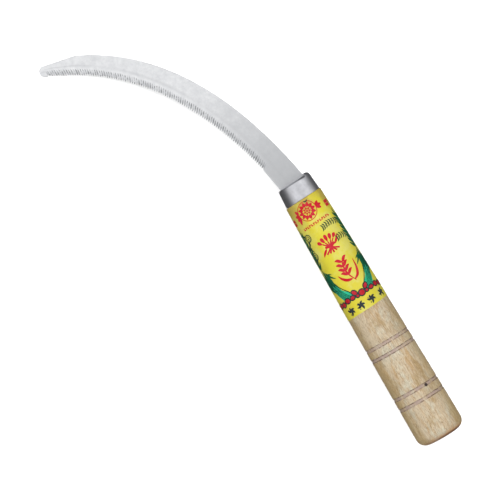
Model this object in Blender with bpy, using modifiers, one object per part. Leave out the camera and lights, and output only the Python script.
"""A hand sickle with a saw edge, modelled sub-part by sub-part.

The pieces are the crescent blade with its flat tang, the turned wooden handle, the pressed steel cap over the
handle's front end, the nail that holds the tang in the wood, and the paper label wrapped round the handle.

Everything is laid out in the tool's own frame first. X runs along the handle's axis toward its butt, with zero
just behind the end of the cap. The toothed edge faces -Y, and the blade's faces look along Z. At the end the
whole tool is rolled about the handle's axis, so that it lies on the ground on its butt and the blade's nose.
"""

import math

import bmesh
import bpy

MM = 0.001

# Turned pieces
RING_STEPS = 48
ARC_STEPS = 5
CAP_ARC_STEPS = 4
TOUCHING_GAP = 0.3 * MM

# Handle
HANDLE_FRONT_X = 10.3 * MM
HANDLE_BUTT_X = 177.5 * MM
HANDLE_FRONT_RADIUS = 12.1 * MM
HANDLE_BUTT_RADIUS = 15.5 * MM
HANDLE_BULGE = 0.35 * MM
BUTT_ROUNDING = 6.0 * MM
FRONT_ROUNDING = 0.5 * MM
GROOVES_FROM_BUTT = (67.5 * MM, 60.6 * MM, 33.7 * MM, 26.6 * MM)
GROOVE_WIDTH = 2.2 * MM
GROOVE_FLOOR_WIDTH = 0.9 * MM
GROOVE_DEPTH = 0.3 * MM

# Cap
CAP_END_X = -3.0 * MM
CAP_MOUTH_X = 10.0 * MM
CAP_END_RADIUS = 11.05 * MM
CAP_MOUTH_RADIUS = 11.8 * MM
CAP_WALL = 0.75 * MM
CAP_ROUNDING = 2.4 * MM
SLOT_LOW_Y = -9.95 * MM
SLOT_HIGH_Y = 7.75 * MM
SLOT_WIDTH = 2.0 * MM

# Label
LABEL_END_X = 87.7 * MM
LABEL_THICKNESS = 0.14 * MM
LABEL_GAP = 0.06 * MM
LABEL_STATIONS = 6

# Blade: each long edge is a curve whose curvature grows steadily along its length
BLADE_THICKNESS = 1.4 * MM
SPINE_START = (-3.0 * MM, 7.1 * MM)
SPINE_HEADING = math.radians(190.3)
SPINE_CURVATURE = 2.24
SPINE_CURVATURE_GROWTH = 45.6
SPINE_CURVE_LENGTH = 162.0 * MM
SPINE_STRAIGHT_LENGTH = 20.4 * MM
SPINE_STRAIGHT_HEADING = math.radians(257.8)
SPINE_POINTS = 28
NOSE_RADIUS = 3.2 * MM
NOSE_END_ANGLE = math.radians(350)
NOSE_POINTS = 9
EDGE_START = (-17.0 * MM, -12.0 * MM)
EDGE_HEADING = math.radians(193.5)
EDGE_CURVATURE = 2.93
EDGE_CURVATURE_GROWTH = 49.9
EDGE_LENGTH = 147.9 * MM
NOSE_CLOSING = 1.2 * MM
EDGE_CURVE_STEPS = 584
TOOTH_COUNT = 103
TOOTH_PITCH_LOSS = 0.046
TOOTH_DEPTH = 1.4 * MM
TOOTH_RAKE = math.radians(23)

# Tang and nail
HEEL = (-16.0 * MM, -11.9 * MM)
NECK_END_X = 1.5 * MM
NECK_SPINE_Y = 7.9 * MM
NECK_EDGE_Y = -8.8 * MM
TANG_START = (4.5 * MM, 6.0 * MM)
TANG_END = (52.0 * MM, 4.0 * MM)
TANG_TIP = (54.0 * MM, 2.5 * MM)
KERF_WIDTH = BLADE_THICKNESS + 2 * TOUCHING_GAP
KERF_END_X = 56.0 * MM
NAIL_X = 30.0 * MM
NAIL_RADIUS = 1.3 * MM
NAIL_HOLE_RADIUS = NAIL_RADIUS + TOUCHING_GAP
NAIL_SEGMENTS = 24


def clear_scene():
    for old in list(bpy.data.objects):
        bpy.data.objects.remove(old, do_unlink=True)


def new_collection(name):
    collection = bpy.data.collections.new(name)
    bpy.context.scene.collection.children.link(collection)
    return collection


def new_material(name, colour, roughness, metallic):
    material = bpy.data.materials.new(name)
    material.use_nodes = True
    shader = material.node_tree.nodes["Principled BSDF"]
    shader.inputs["Base Color"].default_value = (*colour, 1.0)
    shader.inputs["Roughness"].default_value = roughness
    shader.inputs["Metallic"].default_value = metallic
    material.diffuse_color = (*colour, 1.0)
    return material


def place(name, data, material, collection, parent):
    """Make one object of the tool, with its material, in the tool's frame."""
    piece = bpy.data.objects.new(name, data)
    collection.objects.link(piece)
    piece.parent = parent
    if material is not None:
        data.materials.append(material)
    return piece


def arc(centre_radius, centre_x, radius, first, last, steps):
    """Points on an arc of a turned profile. The angles turn from straight outward toward the butt."""
    points = []
    for step in range(steps + 1):
        angle = first + (last - first) * step / steps
        points.append((centre_radius + radius * math.cos(angle), centre_x + radius * math.sin(angle)))
    return points


def turned(name, profile, closed, material, collection, parent):
    """Spin a profile of (radius, distance along the handle's axis) points into a solid."""
    mesh = bpy.data.meshes.new(name)
    outline = bmesh.new()
    corners = [outline.verts.new((radius, 0.0, along)) for radius, along in profile]
    for first, second in zip(corners, corners[1:]):
        outline.edges.new((first, second))
    if closed:
        outline.edges.new((corners[-1], corners[0]))
    outline.to_mesh(mesh)
    outline.free()
    piece = place(name, mesh, material, collection, parent)
    piece.rotation_euler = (0.0, math.pi / 2, 0.0)
    screw = piece.modifiers.new("Spin", "SCREW")
    screw.axis = "Z"
    screw.steps = RING_STEPS
    screw.render_steps = RING_STEPS
    screw.use_merge_vertices = True
    screw.merge_threshold = 0.00001
    screw.use_smooth_shade = False
    return piece


def cut(piece, cutter):
    boolean = piece.modifiers.new(cutter.name, "BOOLEAN")
    boolean.operation = "DIFFERENCE"
    boolean.solver = "EXACT"
    boolean.object = cutter


def box_cutter(name, low, high, collection, parent):
    mesh = bpy.data.meshes.new(name)
    block = bmesh.new()
    bmesh.ops.create_cube(block, size=1.0)
    for corner in block.verts:
        for axis in range(3):
            middle = (low[axis] + high[axis]) / 2
            corner.co[axis] = middle + corner.co[axis] * (high[axis] - low[axis])
    block.to_mesh(mesh)
    block.free()
    return as_cutter(place(name, mesh, None, collection, parent))


def round_bar(name, radius, length, material, collection, parent):
    """A round bar across the handle at the nail's place, along the tool's Z."""
    mesh = bpy.data.meshes.new(name)
    bar = bmesh.new()
    bmesh.ops.create_cone(
        bar, cap_ends=True, segments=NAIL_SEGMENTS, radius1=radius, radius2=radius, depth=length
    )
    bar.to_mesh(mesh)
    bar.free()
    piece = place(name, mesh, material, collection, parent)
    piece.location = (NAIL_X, 0.0, 0.0)
    return piece


def as_cutter(piece):
    piece.hide_render = True
    piece.display_type = "WIRE"
    return piece


def barrel_radius(x):
    """The handle's outer radius, a straight taper with a slight bulge."""
    along = (x - HANDLE_FRONT_X) / (HANDLE_BUTT_X - BUTT_ROUNDING - HANDLE_FRONT_X)
    taper = HANDLE_FRONT_RADIUS + (HANDLE_BUTT_RADIUS - HANDLE_FRONT_RADIUS) * along
    return taper + 4 * HANDLE_BULGE * along * (1 - along)


def label_stations():
    first = HANDLE_FRONT_X + FRONT_ROUNDING
    return [first + (LABEL_END_X - first) * step / LABEL_STATIONS for step in range(LABEL_STATIONS + 1)]


def handle_profile():
    """From the middle of the butt, over the barrel, to the middle of the neck's front face."""
    fillet_x = HANDLE_BUTT_X - BUTT_ROUNDING
    profile = [(0.0, HANDLE_BUTT_X)]
    profile += arc(HANDLE_BUTT_RADIUS - BUTT_ROUNDING, fillet_x, BUTT_ROUNDING, math.pi / 2, 0.0, ARC_STEPS)
    for distance in reversed(GROOVES_FROM_BUTT):
        middle = HANDLE_BUTT_X - distance
        rim = GROOVE_WIDTH / 2
        floor = GROOVE_FLOOR_WIDTH / 2
        profile.append((barrel_radius(middle + rim), middle + rim))
        profile.append((barrel_radius(middle) - GROOVE_DEPTH, middle + floor))
        profile.append((barrel_radius(middle) - GROOVE_DEPTH, middle - floor))
        profile.append((barrel_radius(middle - rim), middle - rim))
    profile += [(barrel_radius(x), x) for x in reversed(label_stations())]
    profile.append((HANDLE_FRONT_RADIUS - FRONT_ROUNDING, HANDLE_FRONT_X))
    profile.append((CAP_MOUTH_RADIUS - CAP_WALL - TOUCHING_GAP, HANDLE_FRONT_X))
    neck_rounding = CAP_ROUNDING - CAP_WALL - TOUCHING_GAP
    shoulder_x = CAP_END_X + CAP_ROUNDING
    profile += arc(
        CAP_END_RADIUS - CAP_ROUNDING, shoulder_x, neck_rounding, 0.0, -math.pi / 2, CAP_ARC_STEPS
    )
    profile.append((0.0, shoulder_x - neck_rounding))
    return profile


def cap_profile():
    """From the middle of the cup's floor, up its inner wall to the mouth, and down its outer side."""
    shoulder_x = CAP_END_X + CAP_ROUNDING
    inner_rounding = CAP_ROUNDING - CAP_WALL
    profile = [(0.0, CAP_END_X + CAP_WALL)]
    profile += arc(
        CAP_END_RADIUS - CAP_ROUNDING, shoulder_x, inner_rounding, -math.pi / 2, 0.0, CAP_ARC_STEPS
    )
    profile.append((CAP_MOUTH_RADIUS - CAP_WALL, CAP_MOUTH_X))
    profile.append((CAP_MOUTH_RADIUS, CAP_MOUTH_X))
    profile += arc(CAP_END_RADIUS - CAP_ROUNDING, shoulder_x, CAP_ROUNDING, 0.0, -math.pi / 2, CAP_ARC_STEPS)
    profile.append((0.0, CAP_END_X))
    return profile


def label_profile():
    """A thin sleeve just clear of the wood: up its inner side, then down its outer side."""
    inner = [(barrel_radius(x) + LABEL_GAP, x) for x in label_stations()]
    outer = [(radius + LABEL_THICKNESS, x) for radius, x in reversed(inner)]
    return inner + outer


def growing_curve(start, heading, curvature, growth, length, steps):
    """Points and headings of a curve that bends to the left, more and more along its way."""
    x, y = start
    points = [(x, y)]
    headings = [heading]
    stride = length / steps
    for step in range(steps):
        middle = (step + 0.5) * stride
        direction = heading + curvature * middle + 0.5 * growth * middle**2
        x += stride * math.cos(direction)
        y += stride * math.sin(direction)
        end = (step + 1) * stride
        points.append((x, y))
        headings.append(heading + curvature * end + 0.5 * growth * end**2)
    return points, headings


def spine_points():
    curve, _ = growing_curve(
        SPINE_START, SPINE_HEADING, SPINE_CURVATURE, SPINE_CURVATURE_GROWTH, SPINE_CURVE_LENGTH, SPINE_POINTS
    )
    corner_x, corner_y = curve[-1]
    end_x = corner_x + SPINE_STRAIGHT_LENGTH * math.cos(SPINE_STRAIGHT_HEADING)
    end_y = corner_y + SPINE_STRAIGHT_LENGTH * math.sin(SPINE_STRAIGHT_HEADING)
    return curve + [(end_x, end_y)]


def nose_points(spine_end):
    """The round nose: it leaves the spine smoothly and turns toward the last tooth."""
    first = SPINE_STRAIGHT_HEADING - math.pi / 2
    centre_x = spine_end[0] - NOSE_RADIUS * math.cos(first)
    centre_y = spine_end[1] - NOSE_RADIUS * math.sin(first)
    points = []
    for step in range(1, NOSE_POINTS + 1):
        angle = first + (NOSE_END_ANGLE - first) * step / NOSE_POINTS
        points.append((centre_x + NOSE_RADIUS * math.cos(angle), centre_y + NOSE_RADIUS * math.sin(angle)))
    return points


def tooth_points():
    """Tips and valleys from the first tooth, at the heel, to the last one. Valleys lean toward the nose."""
    curve, headings = growing_curve(
        EDGE_START, EDGE_HEADING, EDGE_CURVATURE, EDGE_CURVATURE_GROWTH, EDGE_LENGTH, EDGE_CURVE_STEPS
    )
    points = []
    for half_tooth in range(2 * TOOTH_COUNT + 1):
        along = half_tooth / (2 * TOOTH_COUNT)
        station = along * (1 + TOOTH_PITCH_LOSS) - TOOTH_PITCH_LOSS * along**2
        index = min(round(station * EDGE_CURVE_STEPS), EDGE_CURVE_STEPS)
        x, y = curve[index]
        # The last few teeth draw in to meet the round nose.
        closing = NOSE_CLOSING * (max(station - 0.92, 0.0) / 0.08) ** 2
        x += closing * math.cos(headings[index] - math.pi / 2)
        y += closing * math.sin(headings[index] - math.pi / 2)
        if half_tooth % 2:
            inward = headings[index] - math.pi / 2 + TOOTH_RAKE
            x += TOOTH_DEPTH * math.cos(inward)
            y += TOOTH_DEPTH * math.sin(inward)
        points.append((x, y))
    return points


def blade_outline():
    """Once round the blade: spine, nose, teeth back to the heel, then the neck and the tang."""
    spine = spine_points()
    outline = spine + nose_points(spine[-1])
    outline += list(reversed(tooth_points()))
    outline += [HEEL, (NECK_END_X, NECK_EDGE_Y)]
    tang = [TANG_START, TANG_END, TANG_TIP]
    outline += [(x, -y) for x, y in tang]
    outline += list(reversed(tang))
    outline.append((NECK_END_X, NECK_SPINE_Y))
    return outline


def nail_hole_outline():
    points = []
    for step in range(NAIL_SEGMENTS):
        angle = 2 * math.pi * step / NAIL_SEGMENTS
        points.append((NAIL_X + NAIL_HOLE_RADIUS * math.cos(angle), NAIL_HOLE_RADIUS * math.sin(angle)))
    return points


def flat_plate(name, outlines, thickness, material, collection, parent):
    """A flat sheet with straight sides, whose second outline is a hole."""
    curve = bpy.data.curves.new(name, "CURVE")
    curve.dimensions = "2D"
    curve.fill_mode = "BOTH"
    curve.extrude = thickness / 2
    for outline in outlines:
        spline = curve.splines.new("POLY")
        spline.points.add(len(outline) - 1)
        spline.use_cyclic_u = True
        for point, (x, y) in zip(spline.points, outline):
            point.co = (x, y, 0.0, 1.0)
    return place(name, curve, material, collection, parent)


def make_blade(collection, tool):
    steel = new_material("blade_steel", (0.62, 0.62, 0.61), 0.38, 1.0)
    outlines = (blade_outline(), nail_hole_outline())
    flat_plate("blade", outlines, BLADE_THICKNESS, steel, collection, tool)


def make_handle(collection, cutters, tool):
    wood = new_material("handle_wood", (0.72, 0.53, 0.33), 0.6, 0.0)
    handle = turned("handle", handle_profile(), False, wood, collection, tool)
    across = HANDLE_BUTT_RADIUS
    half = KERF_WIDTH / 2
    low = (CAP_END_X - CAP_WALL, -across, -half)
    high = (KERF_END_X, across, half)
    cut(handle, box_cutter("kerf_cutter", low, high, cutters, tool))
    drill = round_bar("nail_drill", NAIL_HOLE_RADIUS, 2 * HANDLE_BUTT_RADIUS, None, cutters, tool)
    cut(handle, as_cutter(drill))


def make_cap(collection, cutters, tool):
    steel = new_material("cap_steel", (0.55, 0.55, 0.56), 0.3, 1.0)
    cap = turned("ferrule", cap_profile(), False, steel, collection, tool)
    low = (2 * CAP_END_X, SLOT_LOW_Y, -SLOT_WIDTH / 2)
    high = (CAP_END_X + CAP_ROUNDING, SLOT_HIGH_Y, SLOT_WIDTH / 2)
    cut(cap, box_cutter("slot_cutter", low, high, cutters, tool))


def make_label(collection, tool):
    paper = new_material("label_paper", (0.80, 0.70, 0.10), 0.55, 0.0)
    turned("label", label_profile(), True, paper, collection, tool)


def make_nail(collection, tool):
    steel = new_material("nail_steel", (0.45, 0.45, 0.45), 0.4, 1.0)
    length = 2 * (barrel_radius(NAIL_X) - TOUCHING_GAP)
    round_bar("tang_pin", NAIL_RADIUS, length, steel, collection, tool)


def corners_of(collection):
    """Every point of the finished pieces, in the world."""
    bpy.context.view_layer.update()
    graph = bpy.context.evaluated_depsgraph_get()
    points = []
    for piece in collection.objects:
        solved = piece.evaluated_get(graph)
        if solved.type == "EMPTY":
            continue
        mesh = solved.to_mesh()
        points += [solved.matrix_world @ vertex.co for vertex in mesh.vertices]
        solved.to_mesh_clear()
    return points


def lay_on_ground(tool, collection):
    """Roll the tool until its nose is as low as its butt, then centre it over the origin."""
    nose_bottom = min(y for _, y in nose_points(spine_points()[-1]))
    reach = math.hypot(nose_bottom, BLADE_THICKNESS / 2)
    tool.rotation_euler.x = math.asin(HANDLE_BUTT_RADIUS / reach) - math.atan2(BLADE_THICKNESS / 2, -nose_bottom)
    points = corners_of(collection)
    low = [min(point[axis] for point in points) for axis in range(3)]
    high = [max(point[axis] for point in points) for axis in range(3)]
    tool.location = (-(low[0] + high[0]) / 2, -(low[1] + high[1]) / 2, -low[2])
    bpy.context.view_layer.update()


def main():
    clear_scene()
    pieces = new_collection("hand_sickle")
    cutters = new_collection("cutters")
    cutters.hide_render = True
    tool = place("tool_frame", None, None, pieces, None)
    make_blade(pieces, tool)
    make_handle(pieces, cutters, tool)
    make_cap(pieces, cutters, tool)
    make_label(pieces, tool)
    make_nail(pieces, tool)
    lay_on_ground(tool, pieces)


main()
